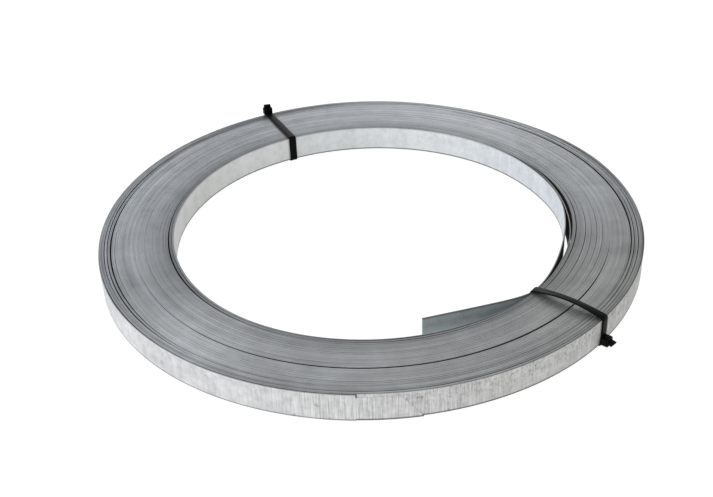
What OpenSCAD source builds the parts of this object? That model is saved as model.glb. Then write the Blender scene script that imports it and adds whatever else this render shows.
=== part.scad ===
// Flat coil of narrow galvanised steel strip, held by two cable ties.
// Millimetres. The coil's axis is Z, the floor is z = 0, the ties' lower straps lie on the floor.
// Angles are seen from above and run anticlockwise from +X. The front of the coil faces -Y.

/* [Strip] */
// Width of the steel strip, which is the height of the coil
strip_w = 25; // [16:1:50]
// Thickness of the strip
strip_t = 1; // [0.6:0.1:2]
// Size of the worn corner along each slit edge
edge_break = 0.18; // [0.05:0.01:0.25]

/* [Winding] */
// Diameter of the bore
bore_d = 368; // [300:2:480]
// Number of turns that lie tight on each other
turns = 64; // [40:1:80]
// Air between two neighbouring turns
turn_gap = 0.03; // [0.01:0.01:0.1]

/* [Loose inner turn] */
// How far the innermost turn springs clear of the bore wall
spring_in = 4.2; // [1:0.1:8]
// Angle from the front tie at which it meets the bore wall again
spring_span = 55; // [40:1:90]
// Place of the widest gap along that span, as a share from the tie
spring_peak = 0.43; // [0.3:0.01:0.6]
// Angle over which the next stretch sinks into the bore wall
sink_span = 30; // [15:1:40]
// Length of the free end inside the bore, from the front tie
tail_l = 104; // [40:1:160]
// Slope of the free end, from the X axis
tail_slope = 18; // [10:1:30]
// Length over which the free end bends away from the bore wall
tail_bend = 12; // [6:1:30]
// How much the loose turn stands above the wound turns, within the ties' slack
loose_rise = 0.15; // [0.05:0.05:0.25]

/* [Outer ends] */
// Angle of the square outer end
outer_end = -93.2; // [-110:0.1:-90]
// How much the outermost turn stands above the wound turns
outer_rise = 0.2; // [0.1:0.05:0.25]
// Angle from the square end to the lower point of the slanted end under it
under_reach = 11.7; // [6:0.1:20]
// Slant of that end, from upright
under_slant = 42; // [0:1:60]
// How far the strip with the slanted end has slipped down
under_drop = 0.9; // [0.2:0.1:0.9]
// Angle over which it lies hidden under the square end
under_lap = 6; // [3:1:20]

/* [Cable ties] */
// Width of a tie's strap
tie_w = 7.6; // [4:0.1:12]
// Thickness of a tie's strap
tie_t = 1.4; // [1:0.1:2]
// Slack between a strap and the strip's edges
tie_slack = 0.3; // [0.1:0.1:0.6]
// Angle of the front tie
front_angle = -42.3; // [-60:0.1:-30]
// How far the front tie's strap bows up over the coil
front_bow = 4; // [0:0.5:10]
// Height of the front tie's head above the floor
front_head_z = 5.5; // [4.5:0.5:14]
// Angle of the rear tie
rear_angle = 115.8; // [90:0.1:150]

/* [Tie heads] */
// Length of a head along the strap
head_l = 7.5; // [6:0.5:14]
// Width of a head across the strap
head_w = 9.5; // [9:0.5:16]
// Depth of a head away from the coil
head_d = 7; // [5:0.5:9]
// Radius of a head's corners
head_r = 2; // [0.5:0.1:2.5]
// Length of the cut stub that shows past the head
stub_l = 3.5; // [1:0.5:10]
// Air round the stub in the head's slot
slot_gap = 0.4; // [0.2:0.1:0.8]
// Depth of the slot's open mouth
slot_d = 2; // [0.5:0.5:3]

/* [Hidden] */
$fn = 180;

pitch = strip_t + turn_gap;
bore_r = bore_d / 2;
rim_r = bore_r + turns * pitch;
base_z = tie_t;
top_z = base_z + strip_w;
// Underside of a tie's top strap, clear of the turns that stand proud
roof_z = top_z + max(loose_rise, outer_rise) + tie_slack;
// Small overlap by which fused stretches of strip bite into each other
bite = 0.06;
// How far a cutter reaches past the face that it cuts
cut_over = 1;
// Largest angle between two points of a curved stretch of strip
arc_step = 1;
// Spacing of the points along the free end
tail_step = 4;
corner_steps = 5;
bow_steps = 16;

// Shape of the sprung stretch: 0 at both ends, 1 at the widest place
spring_power = -ln(2) / ln(spring_peak);
function spring(u) = sin(180 * pow(u, spring_power));

function at_angle(r, a) = [r * cos(a), r * sin(a)];

// Angles from a0 to a1 in even steps
function angles(a0, a1) =
    let (n = ceil(abs(a1 - a0) / arc_step))
    [for (i = [0:n]) a0 + (a1 - a0) * i / n];

// Unit normal of a path at its point i
function path_normal(path, i) =
    let (
        back = path[max(i - 1, 0)],
        next = path[min(i + 1, len(path) - 1)],
        along = next - back
    )
    [-along[1], along[0]] / norm(along);

// Outline of a ribbon that follows a path, with its thickness at each point
function ribbon(path, t) =
    let (last = len(path) - 1)
    concat(
        [for (i = [0:last]) path[i] + path_normal(path, i) * t[i] / 2],
        [for (i = [last:-1:0]) path[i] - path_normal(path, i) * t[i] / 2]
    );

function arc(c, r, a0, a1) =
    [for (i = [0:corner_steps]) c + at_angle(r, a0 + (a1 - a0) * i / corner_steps)];

// Section of the wound turns: one flat land for each turn's edge, with a groove between two turns
function groove(i, z, depth) =
    let (r = bore_r + i * pitch)
    [[r - edge_break, z], [r, z + depth], [r + edge_break, z]];

module wound_turns() {
    low = [for (i = [1:turns - 1]) each groove(i, 0, edge_break)];
    high = [for (i = [1:turns - 1]) each groove(i, strip_w, -edge_break)];
    upper = [for (i = [len(high) - 1:-1:0]) high[i]];
    bore_edge = [[bore_r, strip_w], [bore_r, 0]];
    rim_edge = [[rim_r, 0], [rim_r, strip_w]];
    translate([0, 0, base_z])
        rotate_extrude()
            polygon(concat(bore_edge, low, rim_edge, upper));
}

// Middle line of the loose innermost turn, where it leaves the bore wall and where the front tie holds it
loose_r = bore_r - strip_t / 2 + bite;
held_r = bore_r - strip_t / 2 - tie_slack / 2;
// Half the angle over which the front tie's strap holds it along the bore wall
held_half = atan(tie_w / 2 / bore_r);
spring_from = front_angle + held_half;
spring_to = front_angle + spring_span;

// The stretch before it thins out inside the first wound turn, under the flat of that turn's edge
edge_flat = pitch - edge_break;
sunk_r = bore_r + edge_flat / 2;
sunk_t = edge_flat / 4;
sink_angles = angles(spring_to + sink_span, spring_to);
function sunk(a) = (a - spring_to) / sink_span;
sink_path = [for (a = sink_angles) at_angle(loose_r + (sunk_r - loose_r) * sunk(a), a)];
sink_t = [for (a = sink_angles) strip_t + (sunk_t - strip_t) * sunk(a)];

// The sprung stretch, as a share u of the way from the tie to the bore wall
function sprung_r(u) = held_r + (loose_r - held_r) * u - spring_in * spring(u);
function sprung_point(a) = at_angle(sprung_r((a - spring_from) / (spring_to - spring_from)), a);
spring_path = [for (a = angles(spring_to - arc_step, spring_from)) sprung_point(a)];

// Heading of the free end: along the bore wall at the tie, then towards its own slope
tail_from = front_angle - held_half;
tail_start = at_angle(held_r, tail_from);
wall_heading = tail_from - 90;
tail_heading = 180 + tail_slope - 360;
tail_points = ceil(tail_l / tail_step);
tail_stride = tail_l / tail_points;
function heading(s) = tail_heading + (wall_heading - tail_heading) * exp(-s / tail_bend);
tail_path = [for (
    i = 0, p = tail_start;
    i <= tail_points;
    i = i + 1, p = p + at_angle(tail_stride, heading((i - 1 / 2) * tail_stride))
) p];

module loose_turn() {
    free_path = concat(spring_path, tail_path);
    free_t = [for (p = free_path) strip_t];
    translate([0, 0, base_z + loose_rise])
        linear_extrude(height = strip_w)
            polygon(ribbon(concat(sink_path, free_path), concat(sink_t, free_t)));
}

// A turn on the rim, from one angle to another
module outer_turn(r_in, r_out, z, a_start, a_end) {
    translate([0, 0, z])
        rotate([0, 0, a_start])
            rotate_extrude(angle = a_end - a_start)
                translate([r_in, 0])
                    square([r_out - r_in, strip_w]);
}

// The two outermost turns start under the rear tie, and the upper one ends in a square cut
module square_end() {
    hidden_start = rear_angle - 360;
    upper_z = base_z + outer_rise;
    lower_z = base_z + outer_rise / 2;
    outer_turn(rim_r + strip_t / 2, rim_r + 2 * strip_t, upper_z, hidden_start, outer_end);
    outer_turn(rim_r - strip_t / 2, rim_r + strip_t, lower_z, hidden_start, outer_end - under_lap);
}

// The slanted cut runs across the strip's face, and its lower point reaches furthest
module slanted_end() {
    low_angle = outer_end + under_reach;
    low_z = base_z - under_drop;
    cut_size = 3 * strip_w;
    difference() {
        outer_turn(rim_r - strip_t / 2, rim_r + strip_t, low_z, outer_end - under_lap, low_angle);
        rotate([0, 0, low_angle])
            translate([rim_r - cut_size / 2, 0, low_z])
                rotate([under_slant, 0, 0])
                    translate([0, 0, -cut_size / 2])
                        cube(cut_size);
    }
}

module coil() {
    color([0.66, 0.68, 0.69])
        union() {
            wound_turns();
            loose_turn();
            square_end();
            slanted_end();
        }
}

// Closed loop of a tie's strap round the coil's section, in the tie's own radial plane
module strap_loop(in_r, out_r, bow) {
    rise = [for (i = [1:bow_steps - 1]) [i / bow_steps, bow * sin(180 * i / bow_steps)]];
    inner_roof = [for (p = rise) [out_r + (in_r - out_r) * p[0], roof_z + p[1]]];
    outer_roof = [for (p = rise) [out_r + (in_r - out_r) * p[0], roof_z + tie_t + p[1]]];
    outside = concat(
        arc([in_r, base_z], tie_t, 180, 270),
        arc([out_r, base_z], tie_t, 270, 360),
        arc([out_r, roof_z], tie_t, 0, 90),
        outer_roof,
        arc([in_r, roof_z], tie_t, 90, 180)
    );
    inside_base = [[in_r, roof_z], [in_r, base_z], [out_r, base_z], [out_r, roof_z]];
    inside = concat(inside_base, inner_roof);
    rotate([90, 0, 0])
        linear_extrude(height = tie_w, center = true)
            difference() {
                polygon(outside);
                polygon(inside);
            }
}

// Head of a tie, standing on its strap with +Z away from the coil and the strap along X
module tie_head() {
    l = head_l / 2 - head_r;
    w = head_w / 2 - head_r;
    outline = concat(
        arc([l, w], head_r, 0, 90),
        arc([-l, w], head_r, 90, 180),
        arc([-l, -w], head_r, 180, 270),
        arc([l, -w], head_r, 270, 360)
    );
    mouth_l = tie_t + 2 * slot_gap;
    mouth_w = tie_w + 2 * slot_gap;
    difference() {
        linear_extrude(height = head_d)
            polygon(outline);
        translate([-mouth_l / 2, -mouth_w / 2, head_d - slot_d])
            cube([mouth_l, mouth_w, slot_d + cut_over]);
    }
    translate([-tie_t / 2, -tie_w / 2, head_d / 2])
        cube([tie_t, tie_w, head_d / 2 + stub_l]);
}

// The front tie also holds the loose turn against the bore wall
module cable_tie_front() {
    out_r = rim_r + tie_slack;
    color([0.06, 0.06, 0.065])
        rotate([0, 0, front_angle])
            union() {
                strap_loop(bore_r - strip_t - tie_slack, out_r, front_bow);
                translate([out_r, 0, front_head_z])
                    rotate([0, 90, 0])
                        tie_head();
            }
}

// The rear tie goes round the two outer turns as well, and its head stands on its top strap
module cable_tie_rear() {
    out_r = rim_r + 2 * strip_t + tie_slack;
    color([0.06, 0.06, 0.065])
        rotate([0, 0, rear_angle])
            union() {
                strap_loop(bore_r - tie_slack, out_r, 0);
                translate([out_r, 0, roof_z])
                    tie_head();
            }
}

coil();
cable_tie_front();
cable_tie_rear();
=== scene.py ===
# %% [markdown]
# # A flat coil of galvanised strip
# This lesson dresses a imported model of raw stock: one long steel strip, wound flat into a ring and held
# by two black cable ties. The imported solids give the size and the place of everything. Blender adds what
# the eye expects: the single turns, the sprung inner end, the zinc and the moulded nylon.

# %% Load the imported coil
import math

import bpy
import numpy as np
from mathutils import Matrix, Vector


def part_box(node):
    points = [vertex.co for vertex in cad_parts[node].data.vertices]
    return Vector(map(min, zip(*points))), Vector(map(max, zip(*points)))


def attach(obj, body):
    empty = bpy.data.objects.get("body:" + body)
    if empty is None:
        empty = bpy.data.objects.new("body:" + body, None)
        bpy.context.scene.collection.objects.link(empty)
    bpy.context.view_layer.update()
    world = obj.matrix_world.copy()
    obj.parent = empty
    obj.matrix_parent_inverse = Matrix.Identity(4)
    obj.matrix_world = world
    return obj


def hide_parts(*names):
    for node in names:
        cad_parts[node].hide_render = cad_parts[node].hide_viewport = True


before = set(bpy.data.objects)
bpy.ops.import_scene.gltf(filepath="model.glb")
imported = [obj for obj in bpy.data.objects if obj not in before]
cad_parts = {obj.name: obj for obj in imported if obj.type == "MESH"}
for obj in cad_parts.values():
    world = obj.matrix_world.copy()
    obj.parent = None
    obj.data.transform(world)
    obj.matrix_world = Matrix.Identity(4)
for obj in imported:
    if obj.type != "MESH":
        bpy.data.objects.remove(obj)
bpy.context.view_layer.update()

print("packed nodes:", sorted(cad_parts))

# %% [markdown]
# ## The sizes that everything follows
# The shop measures strip in millimetres, so the shapes below are worked out in millimetres and turned
# into metres only when a mesh is made. The rim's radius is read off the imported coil's box, so that the
# looks follow the solid. The strip is drawn a little thinner than its real millimetre, which leaves room
# for the fine gaps between the turns.

# %% Driving sizes
MM = 0.001
STRIP_WIDTH = 25.0
STRIP_THICKNESS = 0.94
SLIT_CORNER = 0.15
FRONT_TIE_ANGLE = -42.3
REAR_TIE_ANGLE = 115.8
TIE_WIDTH = 7.6
TIE_THICKNESS = 1.4
RING_WIDTH = 66.7
rim_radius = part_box("coil")[1].x / MM
bore_radius = rim_radius - RING_WIDTH
coil_floor = TIE_THICKNESS
coil_top = coil_floor + STRIP_WIDTH
print(f"rim {rim_radius:.1f} mm, bore {bore_radius:.1f} mm, coil from {coil_floor} to {coil_top} mm high")

# %% [markdown]
# ## The camera
# The photograph was taken from a little above, about one metre away. Four edges of the ring were matched
# to find the distance, the tilt, the slight roll and the optical centre, which sits a few pixels off the
# middle of the picture. Turning the camera would move the ring in the picture too, but it would also change
# how the ring is foreshortened. So a lens shift holds that last part, and it stays small.

# %% Place the camera
PICTURE_WIDTH = 713
PICTURE_HEIGHT = 497
FOCAL_PIXELS = 1093.0
OPTICAL_CENTRE = (370.8, 239.9)
CAMERA_DISTANCE = 1.0354
CAMERA_TILT = math.radians(32.81)
CAMERA_ROLL = -0.0333
SENSOR_WIDTH = 36.0

lens = bpy.data.cameras.new("photo_camera")
lens.sensor_width = SENSOR_WIDTH
lens.lens = FOCAL_PIXELS * SENSOR_WIDTH / PICTURE_WIDTH
lens.shift_x = (PICTURE_WIDTH / 2 - OPTICAL_CENTRE[0]) / PICTURE_WIDTH
lens.shift_y = (OPTICAL_CENTRE[1] - PICTURE_HEIGHT / 2) / PICTURE_WIDTH
camera = bpy.data.objects.new("photo_camera", lens)
bpy.context.scene.collection.objects.link(camera)
bpy.context.scene.camera = camera
away = Vector((0, -math.cos(CAMERA_TILT), math.sin(CAMERA_TILT)))
up = Vector((0, math.sin(CAMERA_TILT), math.cos(CAMERA_TILT)))
turned = Matrix.Rotation(CAMERA_ROLL, 3, away) @ Matrix((Vector((1, 0, 0)), up, away)).transposed()
place = away * CAMERA_DISTANCE + Vector((0, 0, coil_floor * MM))
camera.matrix_world = Matrix.Translation(place) @ turned.to_4x4()
print(f"camera at {tuple(round(x, 3) for x in place)} with a {lens.lens:.1f} mm lens")

# %% [markdown]
# ## How the strip is wound
# A coil is one spiral, so its path is one formula: the radius of the inner face grows by one pitch for
# each turn. A stack of plain rings would be quicker, but no end could come out of it.
#
# Real coils are never even. Behind the front tie two turns have sprung into the bore and the turns next to
# them are dented. The tie pulls the turns under it outwards, the left side lies a little flat, and the back
# right is pressed in. Here and there two turns stand apart and show a dark line. Each of these is a
# smooth hump over an angle. A gap starts to count at the far side of the coil, where its hump is zero, so
# the spiral never jumps. The other turns press together by as much, and the rim stays where it is. At
# the floor the gaps nearly close, because the turns lean, so no light comes through from below.

# %% Winding values
END_ANGLE = -93.5
WHOLE_TURNS = 63
TURN_STEPS = 240
END_STANDS_OUT = 1.0
turn_count = WHOLE_TURNS + ((END_ANGLE - FRONT_TIE_ANGLE) % 360) / 360
pitch = (rim_radius + END_STANDS_OUT - STRIP_THICKNESS - bore_radius) / turn_count
print(f"{turn_count:.3f} turns at {pitch:.4f} mm")


# %% Gaps between the turns
def hump(angle, centre, half_width):
    """A smooth rise to 1 around an angle in degrees, and 0 beyond its half width."""
    off = (angle - centre + 180) % 360 - 180
    return np.where(abs(off) < half_width, np.cos(np.pi / 2 * off / half_width) ** 2, 0.0)


# radius in mm, middle angle and half width in degrees, opening in mm
OPEN_GAPS = [
    (240.8, 186, 62, 1.40),
    (239.0, 23, 68, 1.90),
    (240.6, 35, 46, 0.90),
    (243.6, 40, 42, 0.80),
    (219.5, -93, 86, 1.30),
    (219.5, -46, 44, 0.95),
    (187.5, 202, 72, 1.25),
    (185.6, 205, 60, 0.50),
    (246.7, -76, 60, 0.60),
    (243.5, -150, 36, 1.00),
    (238.6, -165, 40, 0.40),
    (245.2, -172, 44, 0.60),
    (243.0, 158, 46, 1.60),
    (246.5, 24, 44, 0.90),
    (241.2, -8, 44, 0.80),
    (244.6, -4, 50, 0.75),
    (187.8, -14, 62, 0.90),
    (187.0, -78, 44, 0.70),
    (185.2, -82, 50, 0.75),
    (196.0, -16, 44, 0.45),
    (201.0, -24, 48, 0.40),
    (206.5, -14, 42, 0.40),
    (212.0, -22, 40, 0.35),
]
SEED = 11
FINE_GAPS = 34
FINE_FROM_BORE = 4
FINE_FROM_RIM = 3
FINE_HALF_WIDTHS = (30, 110)
FINE_OPENINGS = (0.03, 0.16)
random = np.random.default_rng(SEED)
gaps = list(OPEN_GAPS)
for _ in range(FINE_GAPS):
    radius = random.uniform(bore_radius + FINE_FROM_BORE, rim_radius - FINE_FROM_RIM)
    centre = random.uniform(-180, 180)
    half_width = random.uniform(*FINE_HALF_WIDTHS)
    opening = random.uniform(*FINE_OPENINGS)
    gaps.append((radius, centre, half_width, opening))
print(f"{len(OPEN_GAPS)} open gaps and {FINE_GAPS} fine ones")

# %% The spiral's radius
FIRST_TURN_ENDS = 0.5
SECOND_TURN_ENDS = 1.5
# middle angle and half width in degrees, and how far it has moved in mm
SPRUNG_IN = (-16, 30, 4.3)
SPRUNG_FURTHER_ON = (22, 33, 0.95)
SECOND_SPRUNG_IN = (7, 33, 3.4)
DENTED = (9, 40, 2.75)
PULLED_OUT = (-46, 24, 1.5)
PRESSED_IN = (60, 40, 3.6)
FLAT_AT_BORE = (186, 55, 1.8)
FLAT_AT_RIM = (186, 55, 1.0)


def moved(angle, stretch):
    """How far in mm a stretch of the coil has moved at an angle."""
    centre, half_width, furthest = stretch
    return furthest * hump(angle, centre, half_width)


def inner_face(turn, share=1.0):
    """Radius in mm of the strip's inner face.

    Turns are counted from the front tie, and the share says how much of each gap is open.
    """
    angle = FRONT_TIE_ANGLE + 360 * turn
    wound = turn / turn_count
    first = turn < FIRST_TURN_ENDS
    second = (turn >= FIRST_TURN_ENDS) & (turn < SECOND_TURN_ENDS)
    dent = moved(angle, DENTED)
    pulled = moved(angle, PULLED_OUT)
    flattened = moved(angle, FLAT_AT_BORE) * (1 - wound) + moved(angle, FLAT_AT_RIM) * wound
    radius = bore_radius + pitch * turn + pulled - flattened
    radius = radius - first * (moved(angle, SPRUNG_IN) + moved(angle, SPRUNG_FURTHER_ON))
    radius = radius + ~first * dent - second * moved(angle, SECOND_SPRUNG_IN)
    opened = dent + pulled + moved(angle, PRESSED_IN)
    for gap_radius, centre, half_width, opening in gaps:
        whole = math.floor((gap_radius - bore_radius) / pitch)
        far_side = whole + ((centre + 180 - FRONT_TIE_ANGLE) % 360) / 360
        gap = share * opening * hump(angle, centre, half_width)
        radius = radius + gap * (turn >= far_side)
        opened = opened + gap
    return radius - opened * wound


FOOT_SHARE = 0.15
SPRUNG_TURNS = 2
turns = np.append(np.arange(0, turn_count, 1 / TURN_STEPS), turn_count)
radii = inner_face(turns)
foot_radii = inner_face(turns, FOOT_SHARE)
turn_to_turn = radii[TURN_STEPS:-1] - radii[:-TURN_STEPS - 1]
tightest = turn_to_turn[SPRUNG_TURNS * TURN_STEPS:].min() - STRIP_THICKNESS
print(f"room between the two closest turns {tightest:.3f} mm, inner face ends at {radii[-1]:.1f} mm")

# %% [markdown]
# ## The section of the strip
# Slit strip has two bright rolled faces and two grey slit edges, and the slitting knives leave the corners
# slightly broken. Eight points make that section. A curve with a bevel could carry it along the path, but
# lofting it in code gives a closed tube of quads in which each side of the section has its own material and
# its own place on a map.

# %% The section
OUTSIDE, INSIDE = 3, 7
TOP_SIDES = (4, 5, 6)
FLOOR_SIDES = (0, 1, 2)
SECTION = len(TOP_SIDES) + len(FLOOR_SIDES) + 2


def section(low, high):
    """The eight points of the strip as (across, up) in mm, between two heights."""
    face = STRIP_THICKNESS / 2
    edge = face - SLIT_CORNER
    low_corner = low + SLIT_CORNER
    high_corner = high - SLIT_CORNER
    across = [-face, -edge, edge, face, face, edge, -edge, -face]
    up = [low_corner, low, low, low_corner, high_corner, high, high, high_corner]
    return np.stack([a * np.ones_like(low) for a in across], 1), np.stack(up, 1)


print(f"section of {SECTION} points, {STRIP_WIDTH} by {STRIP_THICKNESS} mm")

# %% Rows on the bake map
ROWS_PER_TURN = 4
ROW_STEPS = TURN_STEPS // ROWS_PER_TURN
FINISHES = ["slit_edge", "packed_shade_face", "zinc_rim", "zinc_bore", "painted_shade_free_end"]
# how much of the map's height a row of each kind of side takes, against the others
MAP_HEIGHT = {"top": (0.8, 3.6, 0.8), "floor": (0.4, 1.8, 0.4), "hidden": 0.5, "shown": 22.0}


def map_rows(steps, shown):
    """Where each step and side lies on the bake map, in rows of a quarter turn, and its finish."""
    quarter = np.arange(steps) // ROW_STEPS
    rows = quarter[-1] + 1
    height = np.full((rows, SECTION), MAP_HEIGHT["hidden"])
    height[:, TOP_SIDES] = MAP_HEIGHT["top"]
    height[:, FLOOR_SIDES] = MAP_HEIGHT["floor"]
    finish = np.full((rows, SECTION), FINISHES.index("slit_edge"))
    finish[:, (OUTSIDE, INSIDE)] = FINISHES.index("packed_shade_face")
    for some_rows, side, name in shown:
        height[some_rows, side] = MAP_HEIGHT["shown"]
        finish[some_rows, side] = FINISHES.index(name)
    row, side = np.indices(height.shape).reshape(2, -1)
    block = np.isin(side, TOP_SIDES) * 2 + np.isin(side, FLOOR_SIDES)
    order = np.lexsort((side, row // ROWS_PER_TURN, row % ROWS_PER_TURN, block))
    ends = np.cumsum(height.ravel()[order])
    top_edge = np.empty(height.size)
    top_edge[order] = ends / ends[-1]
    top_edge = top_edge.reshape(height.shape)
    low_edge = top_edge - height / ends[-1]
    return low_edge[quarter], top_edge[quarter], finish[quarter]


print(f"map rows of {ROW_STEPS} steps for {len(FINISHES)} finishes")

# %% Loft a strip
STRIP_SHARP_ANGLE = 30


def loft_strip(name, rings, shown, covered=slice(0), walked=None):
    """A closed strip through rings of section points in mm, with its own maps and materials.

    Steps that another turn covers take the dark packed finish, painted shade, on their outside. The first
    map counts metres of strip, along the middle of the rings unless they are given for each point.
    """
    steps = len(rings) - 1
    first = np.arange(steps)[:, None] * SECTION + np.arange(SECTION)
    beside = np.arange(steps)[:, None] * SECTION + (np.arange(SECTION) + 1) % SECTION
    quads = np.stack([first, first + SECTION, beside + SECTION, beside], 2).reshape(-1, 4)
    last_ring = steps * SECTION
    caps = [list(range(SECTION)), [last_ring + k for k in reversed(range(SECTION))]]
    mesh = bpy.data.meshes.new(name)
    mesh.from_pydata((rings.reshape(-1, 3) * MM).tolist(), [], quads.tolist() + caps)

    middle = rings.mean(1)
    along = np.append(0, np.cumsum(np.linalg.norm(np.diff(middle, axis=0), axis=1)))
    if walked is None:
        walked = np.tile(along[:, None], (1, SECTION))
    flat = np.stack([walked.ravel()[quads], rings[:, :, 2].ravel()[quads]], 2).reshape(-1, 2) * MM
    cap_flat = np.tile([along[-1] * MM, 0.0], (2 * SECTION, 1))
    mesh.uv_layers.new(name="strip").uv.foreach_set("vector", np.concatenate([flat, cap_flat]).ravel())

    low_edge, top_edge, finish = map_rows(steps, shown)
    # painted shade: the covered outside faces, with the recess beside the outer end, take the dark packed
    # finish
    finish[covered, OUTSIDE] = FINISHES.index("packed_shade_face")
    start = (np.arange(steps) % ROW_STEPS) / ROW_STEPS
    end = start + 1 / ROW_STEPS
    bake_u = np.broadcast_to(np.stack([start, end, end, start], 1)[:, None, :], (steps, SECTION, 4))
    bake_v = np.stack([low_edge, low_edge, top_edge, top_edge], 2)
    bake = np.stack([bake_u, bake_v], 3).reshape(-1, 2)
    cap_bake = np.tile(bake[:SECTION], (2, 1))
    mesh.uv_layers.new(name="OFBake").uv.foreach_set("vector", np.concatenate([bake, cap_bake]).ravel())

    material_of = np.append(finish, [FINISHES.index("zinc_bore")] * 2).astype(np.int32)
    for name_of_finish in FINISHES:
        mesh.materials.append(bpy.data.materials[name_of_finish])
    mesh.polygons.foreach_set("material_index", material_of)
    mesh.polygons.foreach_set("use_smooth", np.ones(len(mesh.polygons), bool))
    mesh.set_sharp_from_angle(angle=math.radians(STRIP_SHARP_ANGLE))
    mesh.validate()
    piece = bpy.data.objects.new(name, mesh)
    bpy.context.scene.collection.objects.link(piece)
    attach(piece, "root")
    print(f"{name}: {along[-1] * MM:.1f} m of strip, {len(quads) * 2} triangles")
    return piece


# %% [markdown]
# ## Writing shaders as sums
# Node trees can be wired by hand in the shader editor, but they are easier to read as arithmetic. The small
# class below holds one socket. Adding, subtracting or multiplying it makes the Math node, and one method
# makes every other node from its type, its settings and what goes into its sockets.

# %% A socket that can do sums
class Wire:
    """A node's output that takes part in Python expressions."""

    def __init__(self, socket):
        self.socket = socket
        self.tree = socket.id_data

    @staticmethod
    def node(tree, kind, settings=None, sockets=None, output=0):
        """A new node's output, with its settings made first and then its sockets set or linked."""
        made = tree.nodes.new(kind)
        for name, value in (settings or {}).items():
            if name == "stops":
                while len(made.color_ramp.elements) < len(value):
                    made.color_ramp.elements.new(1)
                for stop, (position, tone) in zip(made.color_ramp.elements, value):
                    stop.position = position
                    stop.color = (tone, tone, tone, 1)
            else:
                setattr(made, name, value)
        for name, value in (sockets or {}).items():
            if isinstance(value, Wire):
                tree.links.new(value.socket, made.inputs[name])
            else:
                made.inputs[name].default_value = value
        return Wire(made.outputs[output])

    def sum(self, operation, *values):
        return Wire.node(self.tree, "ShaderNodeMath", {"operation": operation}, dict(enumerate(values)))

    def __add__(self, other):
        return self.sum("ADD", self, other)

    __radd__ = __add__

    def __sub__(self, other):
        return self.sum("SUBTRACT", self, other)

    def __rsub__(self, other):
        return self.sum("SUBTRACT", other, self)

    def __mul__(self, other):
        return self.sum("MULTIPLY", self, other)

    __rmul__ = __mul__

    def part(self, axis):
        return Wire.node(self.tree, "ShaderNodeSeparateXYZ", None, {0: self}, axis)

    def stretched(self, x, y, z):
        sockets = {0: self, 1: (x, y, z)}
        return Wire.node(self.tree, "ShaderNodeVectorMath", {"operation": "MULTIPLY"}, sockets)

    def noise(self, scale, detail=2.0, roughness=0.5):
        sockets = {"Vector": self, "Scale": scale, "Detail": detail, "Roughness": roughness}
        return Wire.node(self.tree, "ShaderNodeTexNoise", None, sockets)

    def ramp(self, *stops):
        return Wire.node(self.tree, "ShaderNodeValToRGB", {"stops": stops}, {"Fac": self})

    def between(self, first, second):
        """A colour from the first at 0 to the second at 1."""
        tints = [tint if isinstance(tint, Wire) else (*tint, 1) for tint in (first, second)]
        sockets = {"Factor": self, 6: tints[0], 7: tints[1]}
        return Wire.node(self.tree, "ShaderNodeMix", {"data_type": "RGBA"}, sockets, 2)

    def tinted(self, colour):
        """A colour darkened or brightened by this value."""
        sockets = {0: colour, "Scale": self}
        return Wire.node(self.tree, "ShaderNodeVectorMath", {"operation": "SCALE"}, sockets)

    def bump(self, height, strength):
        sockets = {"Height": self, "Distance": height, "Strength": strength}
        return Wire.node(self.tree, "ShaderNodeBump", None, sockets)


# %% Start and feed a finish
def new_finish(name, **sockets):
    """An empty material with its main shader's constant sockets set. Returns its tree and shader."""
    material = bpy.data.materials.new(name)
    material.use_nodes = True
    shader = material.node_tree.nodes["Principled BSDF"]
    shader.label = name
    for socket, value in sockets.items():
        shader.inputs[socket.replace("_", " ")].default_value = value
    return material.node_tree, shader


def feed(shader, **wires):
    """Links varying values to the shader's sockets."""
    tree = shader.id_data
    for socket, wire in wires.items():
        tree.links.new(wire.socket, shader.inputs[socket.replace("_", " ")])
    print(f"{shader.label}: {len(tree.nodes)} nodes, varies {sorted(wires)}")


# %% Places that the finishes follow
COIL_SPAN = 0.5


def along_strip(tree):
    """Metres of strip and height, from the strip's own map."""
    return Wire.node(tree, "ShaderNodeUVMap", {"uv_map": "strip"})


def on_object(tree):
    """The place on the piece in metres."""
    return Wire.node(tree, "ShaderNodeTexCoord", output="Object")


def across_coil(place, axis):
    """0 at the coil's low side on an axis and 1 at its high side."""
    return place.part(axis) * (1 / COIL_SPAN) + 0.5


print(f"shares across the coil count over {COIL_SPAN} m")
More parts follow.
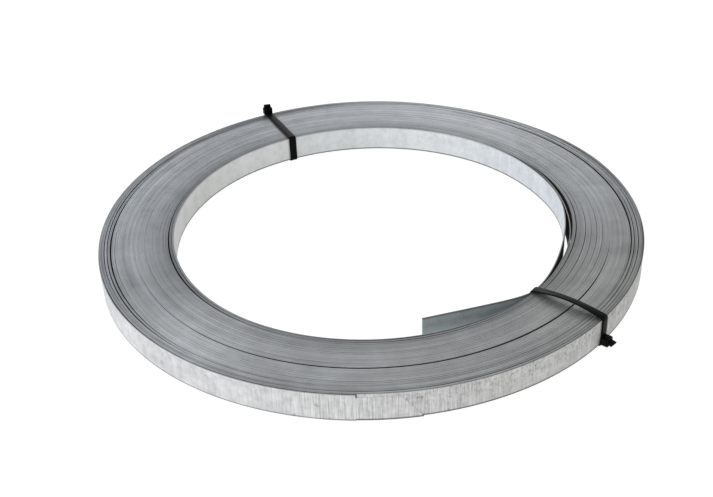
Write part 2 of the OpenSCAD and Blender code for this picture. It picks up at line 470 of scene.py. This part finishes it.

# %% [markdown]
# ## Zinc on the rolled faces
# Hot-dip galvanised strip is pale, cool and a little dull. The rolls leave fine streaks across the strip,
# hands leave grey smudges, most of them on the upper half at the right, and the lower edge is darkened with
# painted shade where the coil stands on the floor. A picture could hold all this, but noise needs no file
# and shows no seam. The streaks are noise that is squeezed along the strip and drawn out across it, on a map
# that counts metres of strip, so they follow the winding. Soft blotches lie under them. The rim, the bore
# wall and the free end share this function: the rim is streaked and smudged, the bore has few marks and its
# near-white left side is painted light, and the free end is painted shade, darkest towards the tie, with
# painted light at its foot.

# %% The zinc finish
def zinc(name, left, right, streaks, smudges, blotches, top_edge, painted_foot_light=0.0):
    """Zinc from one tint at the coil's left to another at its right, with painted shade at its foot and a
    darker top.
    """
    tree, shader = new_finish(name, Metallic=0.35)
    strip = along_strip(tree)
    place = on_object(tree)
    side = across_coil(place, "X")
    height = place.part("Z") * (1 / (coil_top * MM))
    streak = strip.stretched(1, 0.05, 1).noise(800, 2, 0.6)
    broad = strip.stretched(1, 0.2, 1).noise(75, 2)
    cloud = strip.noise(40, 4, 0.62)
    smudge = strip.stretched(1, 0.6, 1).noise(400, 4, 0.7).ramp((0.47, 0.0), (0.67, 1.0))
    speck = strip.noise(120, 2, 0.6).ramp((0.66, 0.0), (0.74, 1.0))
    blotch = strip.noise(150, 4, 0.65) - 0.5
    handled = side.ramp((0.45, 0.15), (0.65, 1.0)) * height.ramp((0.35, 0.3), (0.60, 1.0))
    scraped = side.ramp((0.10, 0.20), (0.32, 0.40), (0.44, 1.0), (0.60, 0.9), (0.70, 0.4))
    # painted light: the free end is lighter towards its foot
    lit = 1 + painted_foot_light * height.ramp((0.30, 1.0), (0.70, 0.0))
    # painted shade along the foot, where the coil stands on the floor, and a darker top edge
    edge_darkening = height.ramp((0.085, 0.2), (0.12, 1.0), (0.93, 1.0), (0.98, top_edge))
    clean = 0.72 + 0.24 * broad + 0.34 * cloud + streaks * (streak - 0.5) * scraped
    tone = (clean + blotches * blotch - smudges * (smudge * handled + 0.8 * speck)) * lit
    rough = 0.42 + 0.12 * cloud + 0.08 * streak
    relief = (0.6 * streak + 0.3 * broad).bump(0.00005, 0.35)
    colour = side.between(left, right)
    feed(shader, Base_Color=(tone * edge_darkening).tinted(colour), Roughness=rough, Normal=relief)


zinc("zinc_rim", left=(0.77, 0.78, 0.81), right=(0.85, 0.85, 0.82),
     streaks=1.35, smudges=0.40, blotches=0.65, top_edge=1.0)
# painted light: the bore wall's near-white left tint
zinc("zinc_bore", left=(0.99, 1.0, 0.96), right=(0.80, 0.85, 0.92),
     streaks=0.05, smudges=0.12, blotches=0.35, top_edge=0.8)
# painted shade: a darker copy of the zinc for the free end, darkest towards the tie, with painted light at
# its foot
zinc("painted_shade_free_end", left=(0.86, 0.95, 0.95), right=(0.08, 0.088, 0.09),
     streaks=0.10, smudges=0.15, blotches=0.3, top_edge=0.4, painted_foot_light=0.7)

# %% [markdown]
# ## The slit edges
# The edges are bare cut steel with a trace of zinc, so they are greyer than the faces. Scratches could be
# cut into the mesh, but that takes far more points than noise does. One noise follows the distance from
# the axis, drawn out along the turns, and gives the fine rings that the eye reads as turns. Others drift
# along the strip, cloud the whole face and add a grain. The first turns are darker, apart from the
# innermost edge, and so is the rim towards the back. The face at the front left is darkened with painted
# shade. Near the rim a finer ring noise is cut to thin dark lines, painted shadows between loose turns.
# The steel is cooler at the left and the back than at the front right. Faces that lie packed between turns
# are painted dark, as the shade in the narrow gaps between them.

# %% The edge finish
def slit_edge():
    """Grey cut steel with fine rings, darker near the bore and the rim, with painted shade at the front
    left.
    """
    tree, shader = new_finish("slit_edge", Metallic=0.8)
    strip = along_strip(tree)
    place = on_object(tree)
    flat = place.stretched(1, 1, 0)
    radius = Wire.node(tree, "ShaderNodeVectorMath", {"operation": "LENGTH"}, {0: flat}, "Value")

    def ringed(fineness, length, detail):
        """Noise that is fine from turn to turn and slow along each turn."""
        ring = Wire.node(tree, "ShaderNodeCombineXYZ", None, {"Z": radius * fineness})
        sockets = {0: place, 1: (length, length, 0), 2: ring}
        spot = Wire.node(tree, "ShaderNodeVectorMath", {"operation": "MULTIPLY_ADD"}, sockets)
        return spot.noise(1, detail, 0.65)

    rings = ringed(330, 5, 3)
    drift = strip.stretched(1, 0, 0).noise(1.7, 2)
    stain = place.noise(16, 3, 0.6)
    blotch = place.noise(55, 4, 0.6)
    grain = strip.noise(700, 2)
    side = across_coil(place, "X")
    back = across_coil(place, "Y")
    depth = (radius - bore_radius * MM) * (1 / (rim_radius - bore_radius) / MM)
    # darker near the bore, darkest a little inside the innermost edge, and darker near the rim towards the
    # back
    darker_near_bore = depth.ramp((0.0, 0.74), (0.012, 0.74), (0.03, 0.52), (0.10, 0.74), (0.30, 0.94), (0.60, 1.0))
    edge_darkening = depth.ramp((0.84, 0.0), (1.0, 1.0)) * (0.03 + 0.47 * back)
    # painted shadows: thin dark lines between loose turns near the rim
    loose = depth.ramp((0.80, 0.0), (0.86, 1.0)) * back.ramp((0.05, 0.3), (0.35, 1.0))
    loose = loose * side.ramp((0.05, 0.4), (0.35, 1.0))
    line = ringed(700, 4, 1).ramp((0.40, 1.0), (0.47, 0.0)) * loose
    tone = 0.95 * rings + 0.40 * drift + 0.50 * stain + 0.50 * blotch + 0.10 * grain - 0.215
    front = back.ramp((0.30, 1.0), (0.60, 0.0))
    # painted shade: the face at the front left is darkened
    front_left_shade = 0.10 * front * side.ramp((0.15, 1.0), (0.38, 0.0))
    shade = darker_near_bore * (1 - edge_darkening) * (1 - front_left_shade) * (1 - 0.75 * line)
    cool = side.between((0.465, 0.495, 0.53), (0.395, 0.415, 0.435))
    colour = (front * side).between(cool, (0.425, 0.43, 0.427))
    rough = 0.42 + 0.12 * stain
    relief = (0.5 * rings + 0.5 * grain).bump(0.00004, 0.2)
    feed(shader, Base_Color=(tone * shade).tinted(colour), Roughness=rough, Normal=relief)


def packed_shade_face():
    """Faces between two turns, painted dark as the shade in the narrow gaps."""
    tree, shader = new_finish("packed_shade_face", Metallic=0.4)
    oil = along_strip(tree).noise(60, 3)
    colour = oil.between((0.05, 0.052, 0.055), (0.10, 0.102, 0.105))
    feed(shader, Base_Color=colour, Roughness=0.5 + 0.2 * oil)


slit_edge()
packed_shade_face()

# %% [markdown]
# ## The wound strip
# The path starts at the free end. That stretch was bent when the coil was cut to length and stands straight
# across the bore, so it is walked outwards from the tie: its heading turns from the bore wall to its own
# slope within a few millimetres. The spiral follows. It could be one mesh, but three lots of turns, split
# under the front tie, keep each mesh and its map light.

# %% The path of the strip
TAIL_LENGTH = 104.0
TAIL_SLOPE = 16.0
TAIL_BEND = 12.0
TAIL_STEPS = ROW_STEPS
UNDER_START = -150.0
UNDER_RISE = 20.0


def at_angle(radius, angle):
    """The point at a distance from the axis and an angle in degrees."""
    turn = np.radians(angle)
    return np.stack([radius * np.cos(turn), radius * np.sin(turn)], -1)


def free_end(start):
    """Points in mm from the tip of the free end to the tie."""
    stride = TAIL_LENGTH / TAIL_STEPS
    walked = (np.arange(TAIL_STEPS) + 0.5) * stride
    wall = FRONT_TIE_ANGLE - 90
    slope = TAIL_SLOPE - 180
    heading = slope + (wall - slope) * np.exp(-walked / TAIL_BEND)
    points = start + np.cumsum(at_angle(stride, heading), 0)
    return points[::-1]


angles = FRONT_TIE_ANGLE + 360 * turns
last_turn = turns > turn_count - 0.5
lifts_off = UNDER_START - UNDER_RISE + 360 * (WHOLE_TURNS + 1)
over_end = last_turn * np.clip((angles - lifts_off) / UNDER_RISE, 0, 1)


def whole_path(inner_radii):
    """The strip's middle line in mm, from the free end to the outer end."""
    spiral = at_angle(inner_radii + STRIP_THICKNESS * (0.5 + over_end), angles)
    return np.concatenate([free_end(spiral[0]), spiral])


path, foot_path = whole_path(radii), whole_path(foot_radii)
print(f"path of {len(path)} points, free end at {path[0].round(1)} mm, outer end at {path[-1].round(1)} mm")

# %% Heights of the turns and their rings
LOOSE_RISE = 0.15
OUTER_RISE = 0.2
WAVES = 9
WAVE_HEIGHTS = (0.02, 0.06)
WAVES_PER_TURN = (0.2, 2.6)
WANDER_LIMIT = 0.2
path_turn = np.concatenate([np.zeros(TAIL_STEPS), turns])
wander = np.zeros(len(path_turn))
for _ in range(WAVES):
    wave_height = random.uniform(*WAVE_HEIGHTS)
    phase = random.uniform(*WAVES_PER_TURN) * path_turn + random.uniform()
    wander = wander + wave_height * np.sin(2 * np.pi * phase)
lift = np.clip(wander, -WANDER_LIMIT, WANDER_LIMIT)
lift = lift + LOOSE_RISE * np.clip(1 - path_turn, 0, 1)
lift = lift + OUTER_RISE * np.clip(path_turn - turn_count + 1, 0, 1)
tangent = np.gradient(path, axis=0)
tangent = tangent / np.linalg.norm(tangent, axis=1)[:, None]
outward = np.stack([tangent[:, 1], -tangent[:, 0]], 1)
across, heights = section(coil_floor + lift, coil_top + lift)
at_foot = np.arange(SECTION)[None, :, None] < SECTION // 2
leaning = np.where(at_foot, foot_path[:, None, :], path[:, None, :])
flat_rings = leaning + outward[:, None, :] * across[:, :, None]
rings = np.concatenate([flat_rings, heights[:, :, None]], 2)
print(f"edges wander from {lift.min():.2f} to {lift.max():.2f} mm")

# %% Loft the turns in three lots
LOTS = {"strip_inner_turns": (0, 21), "strip_middle_turns": (21, 42), "strip_outer_turns": (42, 64)}
# map rows of a quarter turn, side of the section, finish
SHOWN = {
    "strip_inner_turns": [
        (slice(0, 5), INSIDE, "zinc_bore"),
        (slice(0, 1), OUTSIDE, "painted_shade_free_end"),
        # the free end's top edge is drawn dark with the packed finish
        (slice(0, 1), TOP_SIDES[1], "packed_shade_face"),
    ],
    "strip_middle_turns": [],
    "strip_outer_turns": [(slice(-5, None), OUTSIDE, "zinc_rim"), (slice(-1, None), INSIDE, "zinc_bore")],
}
for lot, (first_turn, end_turn) in LOTS.items():
    start = TAIL_STEPS + first_turn * TURN_STEPS if first_turn else 0
    stop = TAIL_STEPS + end_turn * TURN_STEPS + 1
    outer_end = math.ceil((turn_count - 1 - first_turn) * TURN_STEPS)
    under_end = slice(0, outer_end if end_turn > turn_count else 0)
    loft_strip(lot, rings[start:stop], SHOWN[lot], under_end)
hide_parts("coil")

# %% [markdown]
# ## The second cut end
# Under the square outer end lies a second end. It was cut on a slant, its upper edge is trimmed, and it has
# slipped down a little, so the next turn shows above it. A cutter could slice a straight end at a slant,
# but the same section with each point running to its own angle needs none: the lower corner goes furthest.

# %% The slanted end
# angles in degrees, heights in mm, tilt and fall in mm for each degree
SLANT_LOW_ANGLE = -81.75
SLANT_HIGH_ANGLE = -85.75
UNDER_DROP = 0.15
UNDER_TOP = 22.7
UNDER_TILT = 0.12
UNDER_FALL = 0.9
UNDER_LOWEST = 10.0
UNDER_GAP = 0.03


def slanted_end():
    """Rings of the hidden strip up to its slanted cut, and the length walked to each point, in mm."""
    share = np.linspace(0, 1, ROW_STEPS + 1)
    low = np.full(len(share), coil_floor - UNDER_DROP)
    middle_angle = UNDER_START + (SLANT_HIGH_ANGLE - UNDER_START) * share
    top = UNDER_TOP + UNDER_TILT * (middle_angle - SLANT_HIGH_ANGLE)
    top = top + UNDER_FALL * np.minimum(middle_angle - END_ANGLE, 0)
    high = coil_floor + np.maximum(top, UNDER_LOWEST)
    across, up = section(low, high)
    height_share = (up - low[:, None]) / (high - low)[:, None]
    end = SLANT_LOW_ANGLE + (SLANT_HIGH_ANGLE - SLANT_LOW_ANGLE) * height_share
    angle = UNDER_START + (end - UNDER_START) * share[:, None]
    turn = WHOLE_TURNS - 1 + ((angle - FRONT_TIE_ANGLE) % 360) / 360
    radius = inner_face(turn) + STRIP_THICKNESS * 1.5 + UNDER_GAP + across
    return np.concatenate([at_angle(radius, angle), up[:, :, None]], 2), np.radians(angle) * rim_radius


slant_rings, slant_walked = slanted_end()
slant_shown = [(slice(None), side, "zinc_rim") for side in (OUTSIDE, *TOP_SIDES)]
loft_strip("strip_slanted_end", slant_rings, slant_shown, walked=slant_walked)

# %% [markdown]
# ## Moulded nylon
# Cable ties are injection moulded. The nylon is black with a soft sheen that is faintly uneven. One flat
# black would look like a hole in the picture, so a cloudy noise and a fine grain vary its colour, its gloss
# and its relief. The imported model already has a material for the ties, so this one has a name of its own.

# %% The nylon finish
def moulded_nylon():
    """Black plastic with a soft, uneven sheen."""
    tree, shader = new_finish("moulded_nylon", Specular_IOR_Level=0.09)
    place = on_object(tree)
    cloud = place.noise(220, 3)
    grain = place.noise(2600, 2)
    colour = cloud.between((0.0012, 0.0012, 0.0014), (0.003, 0.003, 0.0034))
    rough = 0.28 + 0.16 * cloud + 0.06 * grain
    relief = (0.6 * cloud + 0.4 * grain).bump(0.00008, 0.3)
    feed(shader, Base_Color=colour, Roughness=rough, Normal=relief)


moulded_nylon()

# %% [markdown]
# ## The cable ties
# A tie is one moulding: a strap that runs round the ring, a head with a slot, and the cut stub of the strap
# that was pulled through. The strap is a rounded section swept round a closed path in the tie's own
# upright plane, with fine teeth on its inner side. A bevelled curve could sweep it too, but the teeth need
# a section that changes from step to step. The head is a stack of rounded outlines that turns in at the
# top and goes down into the slot. The front tie was closed by hand and doesn't lie flat: its strap bows up
# over the coil, twists and leans a little.

# %% The path of a strap
STRAP_STEP = 0.65
BEND_RADIUS = 2.2
BEND_POINTS = 8


def rounded_outline(length, width, radius, arc_points=6):
    """Points round a rectangle with round corners, anticlockwise, as an array of (x, y)."""
    points = []
    for turn, (sx, sy) in enumerate([(1, 1), (-1, 1), (-1, -1), (1, -1)]):
        for a in np.linspace(turn * 90, turn * 90 + 90, arc_points):
            corner = np.array([sx * (length / 2 - radius), sy * (width / 2 - radius)])
            points.append(corner + at_angle(radius, a))
    return np.array(points)


def strap_path(inner, outer, roof, bow):
    """A strap's middle line as (distance from the axis, height) in mm, and each point's share of the bow."""
    half = TIE_THICKNESS / 2
    low, high = half, roof + half
    outline = rounded_outline(outer - inner + 2 * half, high - low, BEND_RADIUS, BEND_POINTS)
    outline = outline + [(outer + inner) / 2, (low + high) / 2]
    loop = np.append(outline, outline[:1], 0)
    length = np.append(0, np.cumsum(np.linalg.norm(np.diff(loop, axis=0), axis=1)))
    count = int(length[-1] / STRAP_STEP) // 2 * 2
    spots = np.arange(count) * length[-1] / count
    even = np.stack([np.interp(spots, length, loop[:, k]) for k in (0, 1)], 1)
    span = np.clip((even[:, 0] - inner) / (outer - inner), 0, 1)
    rise = np.where(even[:, 1] > (low + high) / 2, np.sin(np.pi * span), 0)
    even[:, 1] += bow * rise
    return even, rise


print(f"strap steps of {STRAP_STEP} mm, bends of {BEND_RADIUS} mm")

# %% The strap as a mesh
STRAP_EDGE = 0.4
EDGE_POINTS = 4
TOOTH_DEPTH = 0.28
TEETH_HALF_WIDTH = 2.5


def ring_faces(rings, points, closed):
    """Quads between rings of points, with the rings joined end to end when closed."""
    faces = []
    for i in range(rings if closed else rings - 1):
        j = (i + 1) % rings
        for k in range(points):
            m = (k + 1) % points
            faces.append((i * points + k, j * points + k, j * points + m, i * points + m))
    return faces


def strap_mesh(path, twist):
    """Points and faces of the strap: (out from the axis, along the rim, up) in mm, twisted by degrees."""
    outline = rounded_outline(TIE_THICKNESS, TIE_WIDTH, STRAP_EDGE, EDGE_POINTS)
    ends_of_teeth = [[-TIE_THICKNESS / 2, y] for y in (TEETH_HALF_WIDTH, -TEETH_HALF_WIDTH)]
    outline = np.insert(outline, 2 * EDGE_POINTS, ends_of_teeth, 0)
    step = np.roll(path, -1, 0) - np.roll(path, 1, 0)
    along = step / np.linalg.norm(step, axis=1)[:, None]
    normal = np.stack([along[:, 1], -along[:, 0]], 1)
    points = []
    for i, (spot, out, turn) in enumerate(zip(path, normal, np.radians(twist))):
        for depth, side in outline:
            toothed = abs(side) <= TEETH_HALF_WIDTH and depth < 0 and i % 2
            deep = depth + TOOTH_DEPTH * toothed
            reach = deep * math.cos(turn) - side * math.sin(turn)
            aside = deep * math.sin(turn) + side * math.cos(turn)
            points.append((spot[0] + out[0] * reach, aside, spot[1] + out[1] * reach))
    return np.array(points), ring_faces(len(path), len(outline), True)


print(f"strap {TIE_WIDTH} by {TIE_THICKNESS} mm, teeth {TOOTH_DEPTH} mm deep")

# %% The head and the stub as meshes
HEAD_LENGTH = 7.5
HEAD_WIDTH = 9.5
HEAD_DEPTH = 7.0
HEAD_CORNER = 2.0
SLOT_DEPTH = 3.0
SLOT_ROOM = 0.4
SLOT_CORNER = 0.4
STUB_LENGTH = 3.5
# height above the strap and how far the outline draws in, in mm
HEAD_LAYERS = [(0.0, 0.5), (0.5, 0.0), (HEAD_DEPTH - 0.9, 0.0), (HEAD_DEPTH - 0.3, 0.1), (HEAD_DEPTH, 0.3)]
# height above the strap in mm and how much the slot widens
SLOT_LAYERS = [(HEAD_DEPTH, 1.03), (HEAD_DEPTH - 0.4, 1.0), (HEAD_DEPTH - SLOT_DEPTH, 1.0)]
# height above the strap and lean in mm, and slant of the cut
STUB_LAYERS = [(HEAD_DEPTH - SLOT_DEPTH, 0, 0), (HEAD_DEPTH, 0.1, 0), (HEAD_DEPTH + STUB_LENGTH, 0.9, 0.12)]


def closed_stack(rings):
    """Points and faces of a stack of outlines that is closed at both ends."""
    count = len(rings[0])
    last = (len(rings) - 1) * count
    faces = [face[::-1] for face in ring_faces(len(rings), count, False)]
    faces.append(tuple(reversed(range(count))))
    faces.append(tuple(last + k for k in range(count)))
    return np.concatenate(rings), faces


def head_mesh():
    """A head standing on its strap, with +Z away from the coil."""
    rings = []
    for height, inset in HEAD_LAYERS:
        flat = rounded_outline(HEAD_LENGTH - 2 * inset, HEAD_WIDTH - 2 * inset, HEAD_CORNER - inset / 2)
        rings.append(np.column_stack([flat, np.full(len(flat), height)]))
    slot = rounded_outline(TIE_THICKNESS + 2 * SLOT_ROOM, TIE_WIDTH + 2 * SLOT_ROOM, SLOT_CORNER)
    for height, widened in SLOT_LAYERS:
        rings.append(np.column_stack([slot * widened, np.full(len(slot), height)]))
    return closed_stack(rings)


def stub_mesh():
    """The cut stub in the head's own frame. The cut is a little slanted."""
    outline = rounded_outline(TIE_THICKNESS, TIE_WIDTH, STRAP_EDGE, EDGE_POINTS)
    rings = []
    for height, lean, slant in STUB_LAYERS:
        rings.append(np.column_stack([outline[:, 0] + lean, outline[:, 1], height + slant * outline[:, 1]]))
    return closed_stack(rings)


print(f"head of {len(head_mesh()[1])} faces, stub of {len(stub_mesh()[1])}")

# %% Put a tie together
TIE_SLACK = 0.3
TIE_SHARP_ANGLE = 40
roof = coil_top + OUTER_RISE + TIE_SLACK


def make_tie(node, angle, inner, outer, head_turn, head_height, bow=0.0, twist=0.0, lean=0.0):
    """One tie from its three shapes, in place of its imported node."""
    path, rise = strap_path(inner, outer, roof, bow)
    shapes = [strap_mesh(path, twist * rise)]
    for points, faces in (head_mesh(), stub_mesh()):
        shapes.append((points @ head_turn.T + [outer, 0, head_height], faces))
    points, faces, count = [], [], 0
    for some_points, some_faces in shapes:
        points.append(some_points)
        faces += [tuple(count + k for k in face) for face in some_faces]
        count += len(some_points)
    turn, leaning = [np.array(Matrix.Rotation(math.radians(a), 3, "Z")) for a in (angle, lean)]
    middle = [(inner + outer) / 2, 0, 0]
    leant = (np.concatenate(points) - middle) @ leaning.T + middle
    mesh = bpy.data.meshes.new(node + "_moulding")
    mesh.from_pydata((leant @ turn.T * MM).tolist(), [], faces)
    mesh.materials.append(bpy.data.materials["moulded_nylon"])
    mesh.polygons.foreach_set("use_smooth", np.ones(len(mesh.polygons), bool))
    mesh.set_sharp_from_angle(angle=math.radians(TIE_SHARP_ANGLE))
    mesh.validate()
    tie = bpy.data.objects.new(node + "_moulding", mesh)
    bpy.context.scene.collection.objects.link(tie)
    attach(tie, "root")
    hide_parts(node)
    print(f"{tie.name}: {len(mesh.polygons)} faces")


# %% The two ties
FRONT_FROM_BORE = 0.7
FRONT_FROM_RIM = 0.4
FRONT_HEAD_HEIGHT = 5.5
FRONT_BOW = 4.0
FRONT_TWIST = 14.0
FRONT_LEAN = 3.0
REAR_FROM_BORE = 0.1
REAR_FROM_RIM = 1.2
facing_out = np.array(Matrix.Rotation(math.radians(90), 3, "Y"))
upright = np.eye(3)
make_tie("cable_tie_front", FRONT_TIE_ANGLE, bore_radius + FRONT_FROM_BORE, rim_radius + FRONT_FROM_RIM,
         facing_out, FRONT_HEAD_HEIGHT, bow=FRONT_BOW, twist=FRONT_TWIST, lean=FRONT_LEAN)
make_tie("cable_tie_rear", REAR_TIE_ANGLE, bore_radius + REAR_FROM_BORE, rim_radius + REAR_FROM_RIM,
         upright, roof)

# %% [markdown]
# ## Floor and light
# The photograph shows the coil on plain white. Stronger lamps would whiten a floor but bleach the zinc too.
# So the floor glows for the camera, and the sky is white to it, which puts no more light on the steel. The
# part of the floor that doesn't glow still takes the coil's shadow. To the steel the sky is brightest near
# the horizon, as in a pale room. A large lamp at the left lights the rim and the back of the bore, a low
# one lights the front of the rim, and two weak ones at the back brighten the slit edges that mirror them.

# %% Floor
FLOOR_SIZE = 12.0
FLOOR_GREY = 0.6
FLOOR_GLOW = 1.26
SEEN_SHARE = 0.75
MIRRORED_SHARE = 0.3


def white_floor():
    """A matt floor that glows for the camera, and a little in what the steel mirrors."""
    material = bpy.data.materials.new("white_floor")
    material.use_nodes = True
    tree = material.node_tree
    tree.nodes.remove(tree.nodes["Principled BSDF"])
    seen, mirrored, through = [
        Wire.node(tree, "ShaderNodeLightPath", output=f"Is {ray} Ray")
        for ray in ("Camera", "Glossy", "Transmission")
    ]
    share = (seen + through) * SEEN_SHARE + mirrored * MIRRORED_SHARE
    grey = (FLOOR_GREY, FLOOR_GREY, FLOOR_GREY, 1)
    matt = Wire.node(tree, "ShaderNodeBsdfDiffuse", None, {"Color": grey})
    glow = Wire.node(tree, "ShaderNodeEmission", None, {"Color": (1, 1, 1, 1), "Strength": FLOOR_GLOW})
    mixed = Wire.node(tree, "ShaderNodeMixShader", None, {0: share, 1: matt, 2: glow})
    tree.links.new(mixed.socket, tree.nodes["Material Output"].inputs["Surface"])
    return material


half = FLOOR_SIZE / 2
floor_mesh = bpy.data.meshes.new("floor")
corners = [(-half, -half, 0), (half, -half, 0), (half, half, 0), (-half, half, 0)]
floor_mesh.from_pydata(corners, [], [(0, 1, 2, 3)])
floor_mesh.materials.append(white_floor())
floor = bpy.data.objects.new("floor", floor_mesh)
bpy.context.scene.collection.objects.link(floor)
print(f"floor of {FLOOR_SIZE} m")

# %% Sky
HORIZON = 0.72
ZENITH = 0.42
PALE_UP_TO = 0.42
DULL_FROM = 0.66


def white_sky():
    """A pale room that is white to the camera."""
    world = bpy.data.worlds.new("white_room")
    world.use_nodes = True
    tree = world.node_tree
    bpy.context.scene.world = world
    height = Wire.node(tree, "ShaderNodeTexCoord", output="Generated").part("Z")
    seen = Wire.node(tree, "ShaderNodeLightPath", output="Is Camera Ray")
    tone = height.ramp((0.0, HORIZON), (PALE_UP_TO, HORIZON), (DULL_FROM, ZENITH)) * (1 - seen) + seen
    tree.links.new(tone.socket, tree.nodes["Background"].inputs["Color"])
    print(f"sky from {HORIZON} at the horizon to {ZENITH} overhead")


white_sky()


# %% Lamps
def lamp(name, size, watts, position):
    """A round lamp that shines on the middle of the coil."""
    light = bpy.data.lights.new(name, "AREA")
    light.shape = "DISK"
    light.size = size
    light.energy = watts
    holder = bpy.data.objects.new(name, light)
    holder.location = position
    holder.rotation_euler = (-Vector(position)).to_track_quat("-Z", "Y").to_euler()
    bpy.context.scene.collection.objects.link(holder)
    print(f"{name}: {watts} W, {size} m across")


lamp("left_lamp", size=1.2, watts=16.5, position=(-2.0, -0.25, 1.1))
lamp("front_lamp", size=1.0, watts=8.5, position=(-0.8, -1.75, 0.28))
lamp("back_right_lamp", size=0.8, watts=2.9, position=(0.13, 1.65, 0.75))
lamp("back_left_lamp", size=0.8, watts=2.3, position=(-1.0, 1.5, 0.8))
bpy.context.scene.view_settings.view_transform = "Standard"
